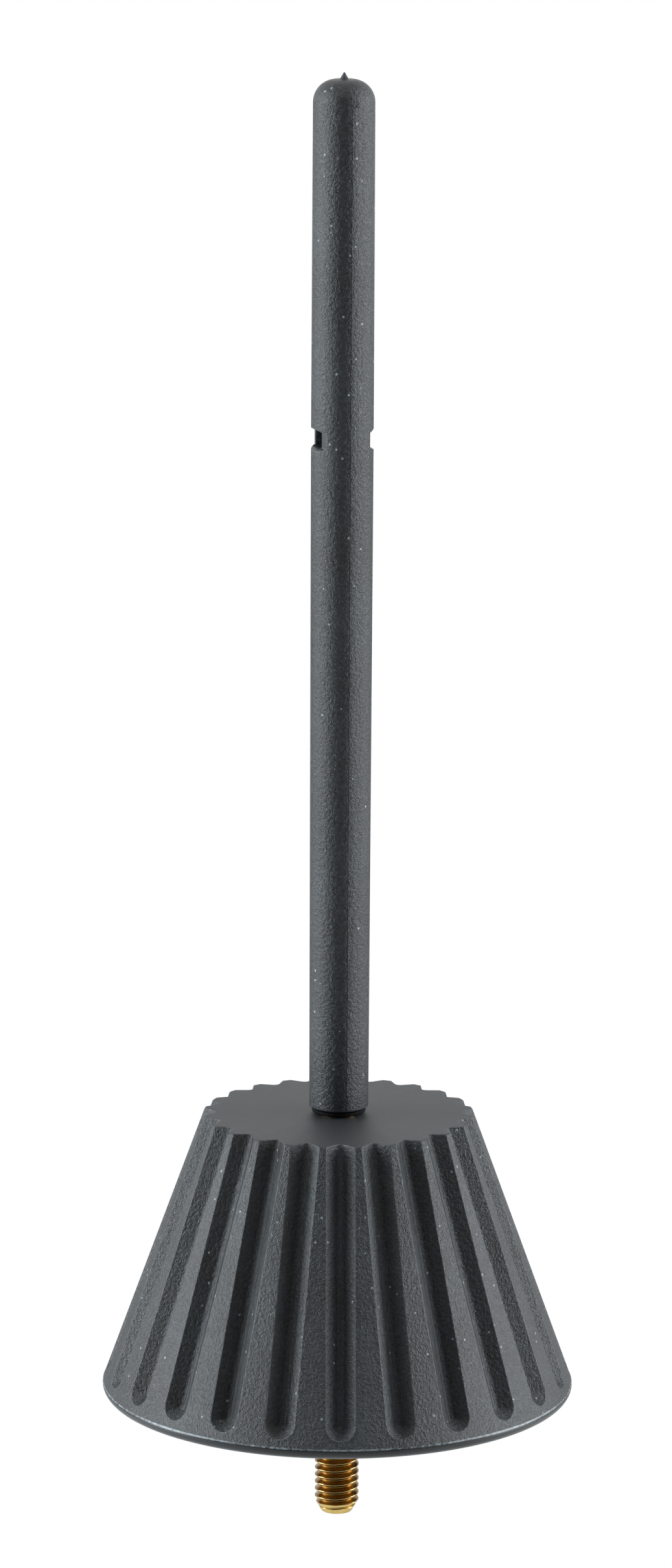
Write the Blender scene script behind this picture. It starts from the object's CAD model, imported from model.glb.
# %% [markdown]
# # A flute peg, moulded in black plastic
#
# The object is a peg that a flute stands on: a slender rod goes up the flute's bore, the flute's end
# rests on the disc, and a fluted cone spreads below it. A yellow threaded stud sticks out underneath,
# and screws into a stand. The CAD part gives the shape and the sizes. This scene makes finer versions
# of the pieces that show, gives every piece its finish, and lights it as in the photograph.

# %% Load the CAD part and note its size
import math

import bmesh
import bpy
from mathutils import Matrix, Vector


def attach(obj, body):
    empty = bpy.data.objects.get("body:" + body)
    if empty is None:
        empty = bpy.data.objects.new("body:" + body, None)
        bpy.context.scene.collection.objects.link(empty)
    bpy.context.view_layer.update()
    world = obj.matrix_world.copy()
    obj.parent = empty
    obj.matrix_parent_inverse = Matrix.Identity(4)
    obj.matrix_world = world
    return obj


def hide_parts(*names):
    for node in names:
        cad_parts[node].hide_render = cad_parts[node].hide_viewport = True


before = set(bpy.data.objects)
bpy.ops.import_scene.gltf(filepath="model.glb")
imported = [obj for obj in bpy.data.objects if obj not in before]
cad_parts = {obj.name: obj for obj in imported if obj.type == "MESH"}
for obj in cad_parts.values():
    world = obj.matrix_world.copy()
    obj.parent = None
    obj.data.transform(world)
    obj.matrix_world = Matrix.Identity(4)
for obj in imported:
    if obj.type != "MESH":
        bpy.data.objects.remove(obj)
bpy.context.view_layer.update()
print("CAD nodes:", sorted(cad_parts))

# %% [markdown]
# ## Small tools
#
# Colours are written as in a paint program, as sRGB hex, and Blender's shaders want them linear, so one
# function turns them. Another function adds a shader node. Its sockets get either a plain number or the
# output of an earlier node, so that a material reads as a list of steps.

# %% Colours and shader nodes
MM = 0.001


def linear(code):
    """An sRGB colour such as #20242a as linear red, green, blue and alpha."""
    channels = []
    for i in (1, 3, 5):
        c = int(code[i : i + 2], 16) / 255
        channels.append(c / 12.92 if c <= 0.04045 else ((c + 0.055) / 1.055) ** 2.4)
    return (*channels, 1.0)


def add(tree, kind, sockets=None, **settings):
    """Adds a node with its settings. Each socket gets a value or another node's output."""
    made = tree.nodes.new(kind)
    for name, value in settings.items():
        setattr(made, name, value)
    for socket, value in (sockets or {}).items():
        if isinstance(value, bpy.types.NodeSocket):
            tree.links.new(value, made.inputs[socket])
        else:
            made.inputs[socket].default_value = value
    return made


print("black plastic is", [round(c, 4) for c in linear("#1c1f21")])

# %% [markdown]
# ## Turning an outline
#
# The rod, the cone and the rings were all drawn on a lathe axis, so each of them is an outline of
# radius and height, spun round Z. A moulded part has no sharp outline corners, so each corner carries a
# rounding, made as an arc. More steps than in the CAD part make the silhouette look round.

# %% Outlines with rounded corners, and solids of revolution
def rounded(corners, steps=10):
    """The outline through (radius, height, rounding) corners."""
    points = []
    for i, (x, z, fillet) in enumerate(corners):
        here = Vector((x, z))
        if fillet == 0 or i in (0, len(corners) - 1):
            points.append(here)
            continue
        before = (Vector(corners[i - 1][:2]) - here).normalized()
        after = (Vector(corners[i + 1][:2]) - here).normalized()
        half = before.angle(after) / 2
        reach = fillet / math.tan(half)
        centre = here + (before + after).normalized() * (fillet / math.sin(half))
        start = here + before * reach - centre
        sweep = start.angle_signed(here + after * reach - centre)
        for k in range(steps + 1):
            points.append(centre + Matrix.Rotation(-sweep * k / steps, 2) @ start)
    return points


def piece(name, bm, sharp=30):
    """An object from a bmesh, smooth but for edges sharper than that many degrees."""
    bmesh.ops.recalc_face_normals(bm, faces=bm.faces)
    mesh = bpy.data.meshes.new(name)
    bm.to_mesh(mesh)
    bm.free()
    mesh.shade_smooth()
    mesh.set_sharp_from_angle(angle=math.radians(sharp))
    made = bpy.data.objects.new(name, mesh)
    bpy.context.scene.collection.objects.link(made)
    return made


def turned(name, corners, steps, closed):
    bm = bmesh.new()
    verts = [bm.verts.new((p[0], 0, p[1])) for p in rounded(corners)]
    edges = [bm.edges.new(pair) for pair in zip(verts, verts[1:])]
    if closed:
        edges.append(bm.edges.new((verts[-1], verts[0])))
    bmesh.ops.spin(
        bm, geom=verts + edges, cent=(0, 0, 0), axis=(0, 0, 1), angle=2 * math.pi, steps=steps
    )
    bmesh.ops.remove_doubles(bm, verts=bm.verts, dist=0.002 * MM)
    return piece(name, bm)


# %% [markdown]
# ## Cutting one shape with another
#
# The flutes and the windows are cut with the Boolean modifier. It could stay on the object, but then
# the cutting shapes would have to stay too, so each cut is applied at once and its tool is thrown away.

# %% Cuts that are applied at once
def cut(target, tool, operation="DIFFERENCE"):
    step = target.modifiers.new("cut", "BOOLEAN")
    step.operation = operation
    step.object = tool
    step.solver = "EXACT"
    view = bpy.context.evaluated_depsgraph_get()
    shape = bpy.data.meshes.new_from_object(target.evaluated_get(view))
    target.modifiers.clear()
    target.data = shape
    bpy.data.objects.remove(tool, do_unlink=True)
    shape.shade_smooth()
    shape.set_sharp_from_angle(angle=math.radians(30))


def prism(name, outline, thickness, turns):
    """An outline in the XZ plane, thickened along Y, with a copy at each angle about Z."""
    bm = bmesh.new()
    for angle in turns:
        verts = [bm.verts.new((x, -thickness / 2, z)) for x, z in outline]
        grown = bmesh.ops.extrude_face_region(bm, geom=[bm.faces.new(verts)])["geom"]
        far = [v for v in grown if isinstance(v, bmesh.types.BMVert)]
        bmesh.ops.translate(bm, verts=far, vec=(0, thickness, 0))
        bmesh.ops.rotate(
            bm, verts=verts + far, cent=(0, 0, 0), matrix=Matrix.Rotation(angle, 3, "Z")
        )
    return piece(name, bm)


# %% [markdown]
# ## The cone
#
# The cone is one moulding: a disc on top, a wall that leans out at 20 degrees, a smooth rounded lip at
# its foot, and inside it a boss for the stud with four thin webs. Its outline is turned first, as a
# closed loop, because the real wall has a thickness and its underside can be seen.

# %% Turn the cone's shell
CONE_HEIGHT = 62.0 * MM
DISC_RADIUS = 29.0 * MM
LEAN = math.radians(20.0)
WALL = 4.8 * MM
LIP = 2.0 * MM
BOSS_RADIUS = 8.5 * MM
BOSS_LOW = 14.3 * MM
COUNTERBORE = 20.3 * MM
SHANK_HOLE = 4.5 * MM
THREAD_HOLE = 5.0625 * MM
UNDER_DISC = CONE_HEIGHT - 3.5 * MM


def outer_radius(height):
    return DISC_RADIUS + (CONE_HEIGHT - height) * math.tan(LEAN)


def inner_radius(height):
    return outer_radius(height) - WALL / math.cos(LEAN)


cone_corners = [
    (SHANK_HOLE, CONE_HEIGHT, 0),
    (DISC_RADIUS, CONE_HEIGHT, 0.5 * MM),
    (outer_radius(LIP + 0.45 * MM), LIP + 0.45 * MM, 0),
    (outer_radius(LIP + 0.3 * MM) + 0.07 * MM, LIP + 0.3 * MM, 0),
    (outer_radius(LIP + 0.1 * MM), LIP + 0.1 * MM, 0),
    (outer_radius(LIP), LIP, 0),
    (outer_radius(LIP), 0, 0.99 * LIP),
    (inner_radius(0), 0, 0),
    (inner_radius(UNDER_DISC), UNDER_DISC, 3.0 * MM),
    (BOSS_RADIUS, UNDER_DISC, 1.2 * MM),
    (BOSS_RADIUS - 0.5 * MM, BOSS_LOW, 0),
    (THREAD_HOLE, BOSS_LOW, 0),
    (THREAD_HOLE, COUNTERBORE, 0),
    (SHANK_HOLE, COUNTERBORE, 0),
]
cone = turned("moulded_cone", cone_corners, 240, closed=True)
WEB_LOW = 22.0 * MM
web_outline = [
    (BOSS_RADIUS - 1.5 * MM, WEB_LOW),
    (inner_radius(WEB_LOW) + 1.0 * MM, WEB_LOW),
    (inner_radius(UNDER_DISC) + 1.0 * MM, UNDER_DISC + 1.0 * MM),
    (BOSS_RADIUS - 1.5 * MM, UNDER_DISC + 1.0 * MM),
]
quarter_turns = [math.pi / 2 * k for k in range(4)]
cut(cone, prism("webs", web_outline, 2.0 * MM, quarter_turns), "UNION")
print("cone shell:", len(cone.data.polygons), "faces")

# %% [markdown]
# ## The flutes
#
# Twenty-four grooves run down the wall. Each has leaning sides, a narrow round floor and a round lower
# end, the shape that a tapered cutter leaves. So the tool is the cutter's path itself: a stack of long
# U-shaped outlines, narrower with depth, laid along the wall, once for every 15 degrees. A ball-ended
# bar is quicker to make, but its steep sides come out darker than they are in the photograph.

# %% Cut the 24 flutes
FLUTES = 24
FLUTE_WIDTH = 6.5 * MM
FLUTE_DEPTH = 2.5 * MM
FLUTE_END = 4.0 * MM
FLOOR_HALF = 0.5 * MM
FLOOR_ROUND = 1.6 * MM
ABOVE = 1.0 * MM
PAST_DISC = 6.0 * MM
END_STEPS = 24

down = Vector((math.sin(LEAN), 0, -math.cos(LEAN)))
outward = Vector((math.cos(LEAN), 0, math.sin(LEAN)))
end_height = FLUTE_END + FLUTE_WIDTH / 2 * math.cos(LEAN)
end = Vector((outer_radius(end_height), 0, end_height))
length = (CONE_HEIGHT - end_height) / math.cos(LEAN) + PAST_DISC
lean_out = (FLUTE_WIDTH / 2 - FLOOR_HALF) / FLUTE_DEPTH
section = rounded(
    [
        (FLUTE_WIDTH / 2 + lean_out * ABOVE, ABOVE, 0),
        (FLOOR_HALF, -FLUTE_DEPTH, FLOOR_ROUND),
        (0, -FLUTE_DEPTH, 0),
    ]
)
bm = bmesh.new()
outlines = []
for half, level in section:
    outline = [bm.verts.new((level, half, length))]
    for k in range(END_STEPS + 1):
        a = math.pi * k / END_STEPS
        outline.append(bm.verts.new((level, half * math.cos(a), -half * math.sin(a))))
    outline.append(bm.verts.new((level, -half, length)))
    outlines.append(outline)
for upper, lower in zip(outlines, outlines[1:]):
    for k in range(len(upper) - 1):
        bm.faces.new((upper[k], upper[k + 1], lower[k + 1], lower[k]))
bm.faces.new(outlines[0])
bmesh.ops.remove_doubles(bm, verts=bm.verts, dist=0.002 * MM)
bmesh.ops.holes_fill(bm, edges=[e for e in bm.edges if e.is_boundary], sides=0)
along_wall = Matrix((outward, Vector((0, 1, 0)), -down)).transposed().to_4x4()
laid = Matrix.Translation(end) @ along_wall
bmesh.ops.transform(bm, matrix=laid, verts=bm.verts)
first = bm.verts[:] + bm.edges[:] + bm.faces[:]
for k in range(1, FLUTES):
    copy = bmesh.ops.duplicate(bm, geom=first)["geom"]
    verts = [v for v in copy if isinstance(v, bmesh.types.BMVert)]
    turn = Matrix.Rotation(2 * math.pi * k / FLUTES, 3, "Z")
    bmesh.ops.rotate(bm, verts=verts, cent=(0, 0, 0), matrix=turn)
cut(cone, piece("flute_cutters", bm))
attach(cone, "root")
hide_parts("fluted_cone")
print("fluted cone:", len(cone.data.polygons), "faces")

# %% [markdown]
# ## The rod
#
# The rod is a second moulding, a hair thicker at its middle than at its ends, with a round top. On the
# top stands the little cone that is left where the plastic's inlet was twisted off. It is a tube
# inside, and a slot is open in its wall on each side, where the mould held the core straight.

# %% Turn the rod and open its windows
FOOT = 63.5 * MM
TOP = FOOT + 220.5 * MM
WAIST_RADIUS = 6.6 * MM
WINDOW = FOOT + 145.0 * MM
WINDOW_TURN = math.radians(15.0)
WINDOW_FLOOR = 4.8 * MM
HOLE_START = 2.12 * MM
HOLE_WIDTH = 4.85 * MM
HOLE_HEIGHT = 4.0 * MM
HOLE_ASIDE = -1.175 * MM

rod_corners = [
    (0, TOP + 1.45 * MM, 0),
    (0.15 * MM, TOP + 1.38 * MM, 0),
    (0.95 * MM, TOP, 0),
    (6.5 * MM, TOP, 4.75 * MM),
    (WAIST_RADIUS, WINDOW, 0),
    (6.35 * MM, FOOT, 0.3 * MM),
    (SHANK_HOLE, FOOT, 0),
    (SHANK_HOLE, FOOT + 22.3 * MM, 0),
    (4.0 * MM, TOP - 4.5 * MM, 2.5 * MM),
    (0, TOP - 4.5 * MM, 0),
]
rod = turned("moulded_rod", rod_corners, 128, closed=False)
far = 2 * WAIST_RADIUS
half_floor = 1.65 * MM
half_far = half_floor + 0.75 * MM * (far - WINDOW_FLOOR) / (WAIST_RADIUS - WINDOW_FLOOR)
notch_outline = [
    (WINDOW_FLOOR, WINDOW - half_floor),
    (far, WINDOW - half_far),
    (far, WINDOW + half_far),
    (WINDOW_FLOOR, WINDOW + half_floor),
]
both_sides = [WINDOW_TURN, WINDOW_TURN + math.pi]
cut(rod, prism("notches", notch_outline, 4 * WAIST_RADIUS, both_sides))
bm = bmesh.new()
for angle in both_sides:
    hole = bmesh.ops.create_cube(bm, size=1.0)["verts"]
    bmesh.ops.scale(bm, vec=(far, HOLE_WIDTH, HOLE_HEIGHT), verts=hole)
    bmesh.ops.translate(bm, vec=(far / 2 + HOLE_START, HOLE_ASIDE, WINDOW), verts=hole)
    bmesh.ops.rotate(bm, cent=(0, 0, 0), matrix=Matrix.Rotation(angle, 3, "Z"), verts=hole)
cut(rod, piece("holes", bm))
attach(rod, "root")
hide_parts("peg_rod")
print("rod:", len(rod.data.polygons), "faces, top at", round(TOP / MM, 2), "mm")

# %% [markdown]
# ## The threaded stud
#
# The stud's thread is rolled: crest and root are a little rounded, and the flanks are smooth. A sheet
# of points is wrapped round the axis, so that its rows follow the helix, and each point asks one
# function for its radius. Rows beyond the stud's end are pressed flat on it and merged. Cutting a
# helix from a bar would need a heavy boolean for the same shape.

# %% Wrap the thread round the stud
PITCH = 25.4 / 16 * MM
THREAD_RADIUS = 4.7625 * MM
THREAD_DEPTH = 0.6 * PITCH
STUD_END = -27.5 * MM
SHANK_START = 20.0 * MM
SHANK_RADIUS = 4.2 * MM
SHANK_TOP = FOOT + 22.0 * MM
SHANK_OVERLAP = 1.0 * MM
CHAMFER = 2.5 * MM
END_RADIUS = 3.3 * MM


def thread_radius(share):
    """The radius at that share of a turn of the thread, 0 being the middle of a crest."""
    away = abs((share + 0.5) % 1.0 - 0.5) * 2
    slope = (away - 0.1) / 0.78
    slope = min(max(slope, 0.0), 1.0)
    soft = slope * slope * (3 - 2 * slope)
    return THREAD_RADIUS - THREAD_DEPTH * (0.35 * slope + 0.65 * soft)


ROWS_PER_TURN = 20
COLUMNS = 72
THREAD_START = 0.39
turns = math.ceil((SHANK_START - STUD_END) / PITCH) + 2
bm = bmesh.new()
sheet = []
for row in range(turns * ROWS_PER_TURN + 1):
    line = []
    for column in range(COLUMNS + 1):
        around = column / COLUMNS
        z = STUD_END + (row / ROWS_PER_TURN - 1 + around) * PITCH
        share = row / ROWS_PER_TURN + THREAD_START
        z = min(max(z, STUD_END), SHANK_START)
        limit = END_RADIUS + (THREAD_RADIUS - END_RADIUS) * min((z - STUD_END) / CHAMFER, 1)
        radius = min(thread_radius(share), limit)
        if z == SHANK_START:
            radius = SHANK_RADIUS
        angle = 2 * math.pi * around
        line.append(bm.verts.new((radius * math.cos(angle), radius * math.sin(angle), z)))
    sheet.append(line)
for low, high in zip(sheet, sheet[1:]):
    for column in range(COLUMNS):
        bm.faces.new((low[column], low[column + 1], high[column + 1], high[column]))
bmesh.ops.remove_doubles(bm, verts=bm.verts, dist=0.002 * MM)
bmesh.ops.holes_fill(bm, edges=[e for e in bm.edges if e.is_boundary], sides=0)
shank_corners = [
    (0, SHANK_TOP, 0),
    (SHANK_RADIUS - 0.25 * MM, SHANK_TOP, 0),
    (SHANK_RADIUS, SHANK_TOP - 0.25 * MM, 0),
    (SHANK_RADIUS, SHANK_START - SHANK_OVERLAP, 0),
    (0, SHANK_START - SHANK_OVERLAP, 0),
]
shank = turned("shank", shank_corners, 64, closed=False)
bm.from_mesh(shank.data)
bpy.data.objects.remove(shank, do_unlink=True)
stud = piece("rolled_stud", bm, sharp=40)
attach(stud, "root")
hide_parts("threaded_stud")
print("stud:", len(stud.data.polygons), "faces,", turns, "turns")

# %% [markdown]
# ## Black moulded plastic
#
# The mould for both black mouldings was spark-eroded, which leaves a fine leathery grain of about half a
# millimetre in the plastic, with tiny bright points where a grain faces the light. The disc on top has a
# finer grain, and the lip is nearly smooth. One function makes a material for each of these textures:
# the grain is noise, made as a bump, and the same noise makes the colour a little uneven. Worn edges are
# a little lighter. They are found with the Bevel node, which rounds the normal close to an edge: where
# it differs from the true normal, there is an edge.

# %% The plastic's material
def black_plastic(name, dark, light, wear, spark_colour, grain, depth, roughness):
    made = bpy.data.materials.new(name)
    made.use_nodes = True
    tree = made.node_tree
    shader = tree.nodes["Principled BSDF"]
    place = add(tree, "ShaderNodeTexCoord").outputs["Object"]
    coarse = add(
        tree,
        "ShaderNodeTexNoise",
        {"Vector": place, "Scale": 1 / grain, "Detail": 3.0, "Roughness": 0.6},
    )
    fine = add(
        tree,
        "ShaderNodeTexNoise",
        {"Vector": place, "Scale": 4 / grain, "Detail": 2.0, "Roughness": 0.5},
    )
    cloud = add(tree, "ShaderNodeTexNoise", {"Vector": place, "Scale": 1 / (14 * MM), "Detail": 4.0})
    true = add(tree, "ShaderNodeNewGeometry")
    round_edge = add(tree, "ShaderNodeBevel", {"Radius": 0.35 * MM}, samples=6)
    same = add(
        tree,
        "ShaderNodeVectorMath",
        {0: round_edge.outputs["Normal"], 1: true.outputs["Normal"]},
        operation="DOT_PRODUCT",
    )
    edge = add(
        tree,
        "ShaderNodeMapRange",
        {"Value": same.outputs["Value"], "From Min": 1.0, "From Max": 0.9, "To Max": 1.0},
    )
    broken = add(
        tree,
        "ShaderNodeMath",
        {0: edge.outputs["Result"], 1: cloud.outputs["Fac"]},
        operation="MULTIPLY",
    )
    uneven = add(
        tree,
        "ShaderNodeMath",
        {0: cloud.outputs["Fac"], 1: 0.5, 2: coarse.outputs["Fac"]},
        operation="MULTIPLY_ADD",
    )
    tone = add(
        tree,
        "ShaderNodeMapRange",
        {"Value": uneven.outputs["Value"], "From Min": 0.6, "From Max": 0.9},
    )
    body = add(
        tree,
        "ShaderNodeMix",
        {"Factor": tone.outputs["Result"], "A": linear(dark), "B": linear(light)},
        data_type="RGBA",
    )
    worn = add(
        tree,
        "ShaderNodeMix",
        {"Factor": broken.outputs["Value"], "A": body.outputs["Result"], "B": linear(wear)},
        data_type="RGBA",
    )
    cells = add(tree, "ShaderNodeTexVoronoi", {"Vector": place, "Scale": 0.5 / grain})
    dot = add(
        tree,
        "ShaderNodeMapRange",
        {"Value": cells.outputs["Distance"], "From Min": 0.24, "From Max": 0.12},
    )
    chance = add(tree, "ShaderNodeSeparateColor", {"Color": cells.outputs["Color"]})
    chosen = add(
        tree,
        "ShaderNodeMath",
        {0: chance.outputs["Red"], 1: 0.93},
        operation="GREATER_THAN",
    )
    spark = add(
        tree,
        "ShaderNodeMath",
        {0: dot.outputs["Result"], 1: chosen.outputs["Value"]},
        operation="MULTIPLY",
    )
    speckled = add(
        tree,
        "ShaderNodeMix",
        {"Factor": spark.outputs["Value"], "A": worn.outputs["Result"], "B": linear(spark_colour)},
        data_type="RGBA",
    )
    tree.links.new(speckled.outputs["Result"], shader.inputs["Base Color"])
    gloss = add(
        tree,
        "ShaderNodeMapRange",
        {
            "Value": fine.outputs["Fac"],
            "From Min": 0.3,
            "From Max": 0.7,
            "To Min": roughness - 0.1,
            "To Max": roughness + 0.1,
        },
    )
    tree.links.new(gloss.outputs["Result"], shader.inputs["Roughness"])
    both = add(
        tree,
        "ShaderNodeMath",
        {0: fine.outputs["Fac"], 1: 0.3, 2: coarse.outputs["Fac"]},
        operation="MULTIPLY_ADD",
    )
    bump = add(
        tree,
        "ShaderNodeBump",
        {"Height": both.outputs["Value"], "Distance": depth, "Normal": round_edge.outputs["Normal"]},
    )
    tree.links.new(bump.outputs["Normal"], shader.inputs["Normal"])
    return made


wall_plastic = black_plastic(
    "black ABS, coarse spark-eroded mould",
    dark="#080a0b",
    light="#292f32",
    wear="#6a7376",
    spark_colour="#8d979b",
    grain=0.66 * MM,
    depth=0.24 * MM,
    roughness=0.38,
)
disc_plastic = black_plastic(
    "black ABS, fine spark-eroded mould",
    dark="#191c1f",
    light="#202427",
    wear="#3a4042",
    spark_colour="#3c4245",
    grain=0.22 * MM,
    depth=0.05 * MM,
    roughness=0.48,
)
lip_plastic = black_plastic(
    "black ABS, polished mould",
    dark="#121516",
    light="#181b1c",
    wear="#5c6467",
    spark_colour="#2c3031",
    grain=0.6 * MM,
    depth=0.02 * MM,
    roughness=0.3,
)
flash_plastic = black_plastic(
    "black ABS, thin flash at the mould's parting line",
    dark="#14181a",
    light="#8a9498",
    wear="#8a9498",
    spark_colour="#a3adb1",
    grain=0.9 * MM,
    depth=0.08 * MM,
    roughness=0.36,
)
rod_plastic = black_plastic(
    "black ABS rod, coarse spark-eroded mould",
    dark="#060809",
    light="#262c2f",
    wear="#6a7275",
    spark_colour="#99a3a7",
    grain=0.66 * MM,
    depth=0.24 * MM,
    roughness=0.38,
)
plastics = [wall_plastic, disc_plastic, lip_plastic, flash_plastic, rod_plastic]
print("plastics:", [material.name for material in plastics])

# %% [markdown]
# ## Which face gets which plastic
#
# The cone's mesh has one slot for each of its textures. A face takes its slot from its height: the
# disc's faces lie at the top and look up, the lip's faces lie below the parting line, and the thin
# ridge of flash on that line has its own, paler and broken up.

# %% Put the plastics on the cone and the rod
for finish in (wall_plastic, disc_plastic, lip_plastic, flash_plastic):
    cone.data.materials.append(finish)
counts = [0, 0, 0, 0]
for face in cone.data.polygons:
    outside = face.center.xy.length > outer_radius(face.center.z) - 1.0 * MM
    face.material_index = 0
    if face.center.z > CONE_HEIGHT - 0.3 * MM and face.normal.z > 0.7:
        face.material_index = 1
    elif face.center.z < LIP + 0.1 * MM:
        face.material_index = 2
    elif face.center.z < LIP + 0.45 * MM and outside:
        face.material_index = 3
    counts[face.material_index] += 1
rod.data.materials.append(rod_plastic)
print("faces on the wall, disc, lip and flash:", counts)

# %% [markdown]
# ## The rod's parting line
#
# The two halves of the rod's mould met a little to the right of its front. They leave a thin ridge from
# top to foot, steep on its left and shallow on its right, where the plastic leans to the right softbox
# and looks paler. It is added to the rod's bump, from a point's distance to a plane through the axis,
# and only on the front half.

# %% Add the parting line to the rod's bump
SEAM = math.radians(-75.0)
SEAM_RISE = 0.2 * MM
SEAM_STEEP = 0.12 * MM
SEAM_SHALLOW = 2.2 * MM
SEAM_TOP = TOP - 5.5 * MM
FRONT_HALF = 5.2 * MM

tree = rod_plastic.node_tree
place = add(tree, "ShaderNodeTexCoord").outputs["Object"]
across = add(
    tree,
    "ShaderNodeVectorMath",
    {0: place, 1: (-math.sin(SEAM), math.cos(SEAM), 0)},
    operation="DOT_PRODUCT",
)
forward = add(
    tree,
    "ShaderNodeVectorMath",
    {0: place, 1: (math.cos(SEAM), math.sin(SEAM), 0)},
    operation="DOT_PRODUCT",
)
left_rise = add(
    tree,
    "ShaderNodeMapRange",
    {"Value": across.outputs["Value"], "From Min": -SEAM_STEEP, "From Max": 0.0},
)
right_fall = add(
    tree,
    "ShaderNodeMapRange",
    {"Value": across.outputs["Value"], "From Min": SEAM_SHALLOW, "From Max": 0.0},
)
ridge = add(
    tree,
    "ShaderNodeMath",
    {0: left_rise.outputs["Result"], 1: right_fall.outputs["Result"]},
    operation="MINIMUM",
)
in_front = add(
    tree,
    "ShaderNodeMath",
    {0: forward.outputs["Value"], 1: FRONT_HALF},
    operation="GREATER_THAN",
)
up = add(tree, "ShaderNodeSeparateXYZ", {"Vector": place})
below_tip = add(
    tree,
    "ShaderNodeMath",
    {0: up.outputs["Z"], 1: SEAM_TOP},
    operation="LESS_THAN",
)
front_ridge = add(
    tree,
    "ShaderNodeMath",
    {0: ridge.outputs["Value"], 1: in_front.outputs["Value"]},
    operation="MULTIPLY",
)
seam = add(
    tree,
    "ShaderNodeMath",
    {0: front_ridge.outputs["Value"], 1: below_tip.outputs["Value"]},
    operation="MULTIPLY",
)
grain_bump = tree.nodes["Bump"].outputs["Normal"]
seam_bump = add(
    tree,
    "ShaderNodeBump",
    {"Height": seam.outputs["Value"], "Distance": SEAM_RISE, "Normal": grain_bump},
)
tree.links.new(seam_bump.outputs["Normal"], tree.nodes["Principled BSDF"].inputs["Normal"])
print("parting line at", round(math.degrees(SEAM)), "degrees")

# %% [markdown]
# ## Plated steel
#
# The stud is steel with a yellow passivated zinc coat, and the nut and washers are bright zinc. Metals
# take their look from the base colour and the roughness. The coat's colour drifts, rubbed crests are
# brighter, and rolling leaves fine lines round the thread, made with noise stretched along the turn.

# %% The metals
def plated_steel(name, first, second, rubbed, line, roughness):
    made = bpy.data.materials.new(name)
    made.use_nodes = True
    tree = made.node_tree
    shader = tree.nodes["Principled BSDF"]
    shader.inputs["Metallic"].default_value = 1.0
    place = add(tree, "ShaderNodeTexCoord").outputs["Object"]
    drift = add(tree, "ShaderNodeTexNoise", {"Vector": place, "Scale": 1 / (3 * MM), "Detail": 5.0})
    long = add(tree, "ShaderNodeMapping", {"Vector": place, "Scale": (1.0, 1.0, 8.0)})
    lines = add(
        tree,
        "ShaderNodeTexNoise",
        {"Vector": long.outputs["Vector"], "Scale": 1 / line, "Detail": 2.0},
    )
    tone = add(
        tree,
        "ShaderNodeMapRange",
        {"Value": drift.outputs["Fac"], "From Min": 0.3, "From Max": 0.7},
    )
    coat = add(
        tree,
        "ShaderNodeMix",
        {"Factor": tone.outputs["Result"], "A": linear(first), "B": linear(second)},
        data_type="RGBA",
    )
    convex = add(tree, "ShaderNodeNewGeometry").outputs["Pointiness"]
    crest = add(
        tree,
        "ShaderNodeMapRange",
        {"Value": convex, "From Min": 0.52, "From Max": 0.6},
    )
    colour = add(
        tree,
        "ShaderNodeMix",
        {"Factor": crest.outputs["Result"], "A": coat.outputs["Result"], "B": linear(rubbed)},
        data_type="RGBA",
    )
    tree.links.new(colour.outputs["Result"], shader.inputs["Base Color"])
    gloss = add(
        tree,
        "ShaderNodeMapRange",
        {
            "Value": drift.outputs["Fac"],
            "From Min": 0.3,
            "From Max": 0.7,
            "To Min": roughness - 0.06,
            "To Max": roughness + 0.08,
        },
    )
    tree.links.new(gloss.outputs["Result"], shader.inputs["Roughness"])
    bump = add(tree, "ShaderNodeBump", {"Height": lines.outputs["Fac"], "Distance": 0.01 * MM})
    tree.links.new(bump.outputs["Normal"], shader.inputs["Normal"])
    return made


yellow_steel = plated_steel(
    "steel stud, yellow passivated zinc", "#7d5c28", "#a07c3e", "#ead09a", 1.2 * MM, 0.24
)
cut_end = plated_steel(
    "steel stud's turned end, yellow passivated zinc", "#b5954a", "#d6bd74", "#efdca6", 0.5 * MM, 0.3
)
stud.data.materials.append(yellow_steel)
stud.data.materials.append(cut_end)
for face in stud.data.polygons:
    low = face.center.z < STUD_END + CHAMFER - 0.2 * MM
    face.material_index = 1 if low and face.normal.z < -0.3 else 0
zinc_steel = plated_steel("steel, bright zinc", "#b4b5b3", "#c8c9c6", "#e0e0dd", 0.8 * MM, 0.34)
spacer_plastic = black_plastic(
    "black nylon ring, smooth mould",
    dark="#0a0b0b",
    light="#0d0e0e",
    wear="#101112",
    spark_colour="#121314",
    grain=0.5 * MM,
    depth=0.01 * MM,
    roughness=0.75,
)
spacer_plastic.node_tree.nodes["Principled BSDF"].inputs["Specular IOR Level"].default_value = 0.1
carried = {
    "flat_washer": zinc_steel,
    "lock_washer": zinc_steel,
    "clamp_nut": zinc_steel,
    "rod_spacer": spacer_plastic,
}
for node, finish in carried.items():
    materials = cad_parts[node].data.materials
    materials.clear()
    materials.append(finish)
print("carried over:", sorted(carried))

# %% [markdown]
# ## Camera
#
# The photograph was taken from about 1.4 m with a long lens, looking down 12 degrees. The camera's
# place comes from fitting the flutes' ends, the disc and the rim. The lens belongs to a sensor 36 mm
# long on the picture's long side, which is its height here. A small sideways shift and a roll of a third
# of a degree set the peg as it stands in the picture.

# %% Set the camera
AZIMUTH = math.radians(-0.907)
DISTANCE = 1358.9 * MM
CAMERA_HEIGHT = 427.7 * MM
LOOKS_DOWN = math.radians(12.191)
ROLL = math.radians(0.31)

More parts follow.
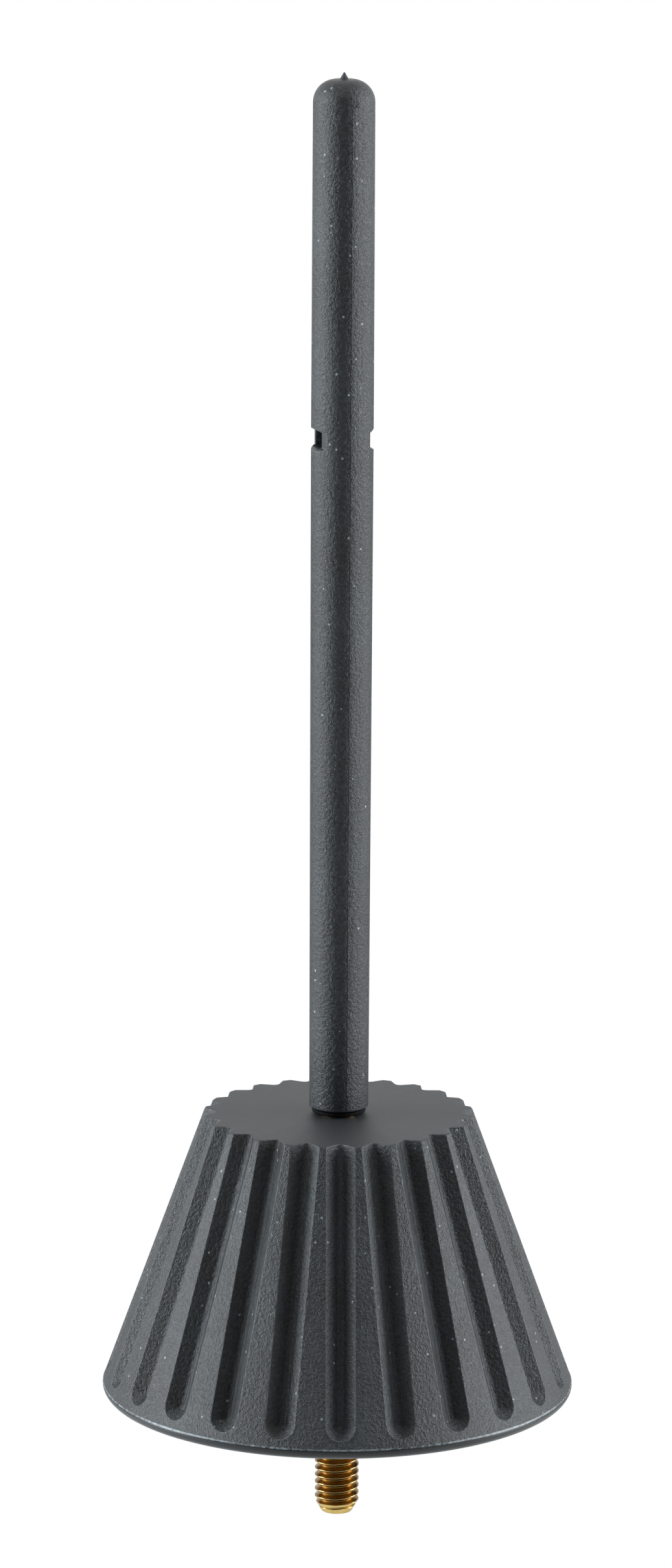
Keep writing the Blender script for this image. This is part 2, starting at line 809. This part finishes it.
camera_data = bpy.data.cameras.new("photo camera")
camera_data.sensor_width = 36.0
camera_data.lens = 150.1
camera_data.shift_x = -0.00285
camera_data.clip_end = 20.0
camera = bpy.data.objects.new("photo camera", camera_data)
bpy.context.scene.collection.objects.link(camera)
bpy.context.scene.camera = camera
stand = Vector((DISTANCE * math.sin(AZIMUTH), -DISTANCE * math.cos(AZIMUTH), CAMERA_HEIGHT))
heading = Matrix.Rotation(AZIMUTH, 4, "Z")
tilt = Matrix.Rotation(math.pi / 2 - LOOKS_DOWN, 4, "X")
roll = Matrix.Rotation(ROLL, 4, "Z")
camera.matrix_world = Matrix.Translation(stand) @ heading @ tilt @ roll
print("camera at", [round(c, 3) for c in stand])

# %% [markdown]
# ## Studio
#
# In the photograph the background is pure white, a softbox stands on each side, the left one a little
# brighter, and nothing lights the front, so the faces turned to the camera stay nearly black. The
# world is white only for what the camera sees and for reflections. A dark board behind the camera keeps
# that white out of the front faces' reflections, as the dark room does in a real studio. The floor is
# well below the peg, because the picture shows no shadow, and it is clear from below, so that the
# underside can be looked at.

# %% World, lamps, floor and board
FILL_LIGHT = 0.25
LAMP_AIM = Vector((0, 0, 0.15))
FLOOR_LEVEL = -0.32

world = bpy.data.worlds.new("studio")
bpy.context.scene.world = world
world.use_nodes = True
tree = world.node_tree
rays = add(tree, "ShaderNodeLightPath")
seen = add(
    tree,
    "ShaderNodeMath",
    {0: rays.outputs["Is Camera Ray"], 1: rays.outputs["Is Glossy Ray"]},
    operation="MAXIMUM",
)
seen_or_through = add(
    tree,
    "ShaderNodeMath",
    {0: seen.outputs["Value"], 1: rays.outputs["Is Transmission Ray"]},
    operation="MAXIMUM",
)
strength = add(
    tree,
    "ShaderNodeMapRange",
    {"Value": seen_or_through.outputs["Value"], "To Min": FILL_LIGHT, "To Max": 1.0},
)
tree.links.new(strength.outputs["Result"], tree.nodes["Background"].inputs["Strength"])
tree.nodes["Background"].inputs["Color"].default_value = (1, 1, 1, 1)


def softbox(name, place, wide, high, power, colour):
    data = bpy.data.lights.new(name, "AREA")
    data.shape = "RECTANGLE"
    data.size = wide
    data.size_y = high
    data.energy = power
    data.color = linear(colour)[:3]
    lamp = bpy.data.objects.new(name, data)
    bpy.context.scene.collection.objects.link(lamp)
    aim = (LAMP_AIM - Vector(place)).to_track_quat("-Z", "Y").to_matrix().to_4x4()
    lamp.matrix_world = Matrix.Translation(place) @ aim
    lamp.visible_camera = False


softbox("left softbox", (-1.0, 0.0, 0.35), 0.5, 1.2, 21.0, "#f2f9ff")
softbox("right softbox", (1.0, 0.0, 0.35), 0.5, 1.2, 18.0, "#f7fbff")


def card(name, wide, deep, place, turn):
    """A flat board or floor, which isn't part of the object."""
    bm = bmesh.new()
    bmesh.ops.create_grid(bm, x_segments=1, y_segments=1, size=0.5)
    bmesh.ops.scale(bm, vec=(wide, deep, 1), verts=bm.verts)
    made = piece(name, bm)
    made.matrix_world = Matrix.Translation(place) @ Matrix.Rotation(turn, 4, "X")
    return made


floor = card("studio floor", 6.0, 6.0, (0, 1.0, FLOOR_LEVEL), 0.0)
floor_paint = bpy.data.materials.new("matt white studio floor")
floor_paint.use_nodes = True
tree = floor_paint.node_tree
camera_ray = add(tree, "ShaderNodeLightPath").outputs["Is Camera Ray"]
paint = tree.nodes["Principled BSDF"]
paint.inputs["Base Color"].default_value = linear("#e6e6e6")
paint.inputs["Roughness"].default_value = 0.9
white = add(tree, "ShaderNodeEmission", {"Strength": 1.0})
blend = add(
    tree,
    "ShaderNodeMixShader",
    {0: camera_ray, 1: paint.outputs["BSDF"], 2: white.outputs["Emission"]},
)
below = add(tree, "ShaderNodeNewGeometry").outputs["Backfacing"]
clear = add(tree, "ShaderNodeBsdfTransparent").outputs["BSDF"]
open_below = add(
    tree,
    "ShaderNodeMixShader",
    {0: below, 1: blend.outputs["Shader"], 2: clear},
)
tree.links.new(open_below.outputs["Shader"], tree.nodes["Material Output"].inputs["Surface"])
floor.data.materials.append(floor_paint)

board = card("dark board", 3.2, 2.6, (0, -1.9, 0.4), math.pi / 2)
board_paint = bpy.data.materials.new("matt black board")
board_paint.use_nodes = True
paint = board_paint.node_tree.nodes["Principled BSDF"]
paint.inputs["Base Color"].default_value = linear("#202020")
paint.inputs["Roughness"].default_value = 1.0
board.data.materials.append(board_paint)
board.visible_camera = False
print("studio: two softboxes, a floor and a board")

# %% [markdown]
# ## Finish
#
# The view transform is Standard, so that a colour comes out as it was written. The box is measured
# again and must lie in the CAD part's own box.

# %% Measure and finish
bpy.context.scene.view_settings.view_transform = "Standard"
